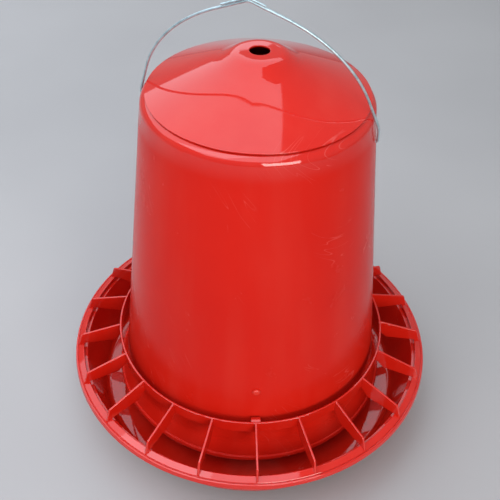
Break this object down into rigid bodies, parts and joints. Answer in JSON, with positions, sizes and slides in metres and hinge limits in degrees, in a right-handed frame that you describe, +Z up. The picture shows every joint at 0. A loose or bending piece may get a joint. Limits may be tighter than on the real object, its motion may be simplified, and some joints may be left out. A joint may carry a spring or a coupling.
{
  "type": "gravity poultry feeder",
  "caption": "Red plastic gravity feeder: tapered hopper with a conical lid and wire bail, hung on slotted straps over a round pan with a feed-saver grid.",
  "frame": {"origin": "centre of the pan's foot, on the ground", "axes": "+Z up along the feeder's axis, -Y towards the front"},
  "size_m": [0.4972, 0.4972, 0.6126],
  "materials": {
    "red_plastic": "glossy injection-moulded polypropylene",
    "red_nylon": "glossy moulded nylon",
    "galvanised_wire": "dull galvanised wire",
    "galvanised_steel": "galvanised strip",
    "zinc_fasteners": "bright zinc plating"
  },
  "bodies": {
    "pan": {"pan": "red_plastic", "strap_front": "galvanised_steel", "strap_right": "galvanised_steel", "strap_left": "galvanised_steel", "foot_screws": "zinc_fasteners", "foot_washers": "zinc_fasteners", "foot_nuts": "zinc_fasteners"},
    "hopper": {"hopper": "red_plastic", "adjuster_bolts": "red_nylon", "adjuster_washers": "zinc_fasteners"},
    "grid": {"grid": "red_plastic"},
    "lid": {"lid": "red_plastic"},
    "bail": {"bail": "galvanised_wire", "crown_strand": "galvanised_wire"},
    "wing_nut_front": {"wing_nut_front": "red_nylon"},
    "wing_nut_right": {"wing_nut_right": "red_nylon"},
    "wing_nut_left": {"wing_nut_left": "red_nylon"}
  },
  "joints": [
    {"name": "feed_gap", "type": "slide", "parent": "pan", "child": "hopper", "axis": [0, 0, 1], "range_m": [-0.025, 0.01]},
    {"name": "grid_lift", "type": "slide", "parent": "pan", "child": "grid", "axis": [0, 0, 1], "range_m": [0, 0.54]},
    {"name": "lid_lift", "type": "slide", "parent": "hopper", "child": "lid", "axis": [0, 0, 1], "range_m": [0, 0.009]},
    {"name": "bail_swing", "type": "hinge", "parent": "hopper", "child": "bail", "pos_m": [0, 0, 0.446], "axis": [0.9537, -0.3007, 0], "range_deg": [-106, 71]},
    {"name": "wing_nut_front_turn", "type": "hinge", "parent": "hopper", "child": "wing_nut_front", "pos_m": [0, -0.145, 0.1675], "axis": [0, -1, 0], "continuous": true},
    {"name": "wing_nut_right_turn", "type": "hinge", "parent": "hopper", "child": "wing_nut_right", "pos_m": [0.12557, 0.0725, 0.1675], "axis": [0.866, 0.5, 0], "continuous": true},
    {"name": "wing_nut_left_turn", "type": "hinge", "parent": "hopper", "child": "wing_nut_left", "pos_m": [-0.12557, 0.0725, 0.1675], "axis": [-0.866, 0.5, 0], "continuous": true}
  ]
}
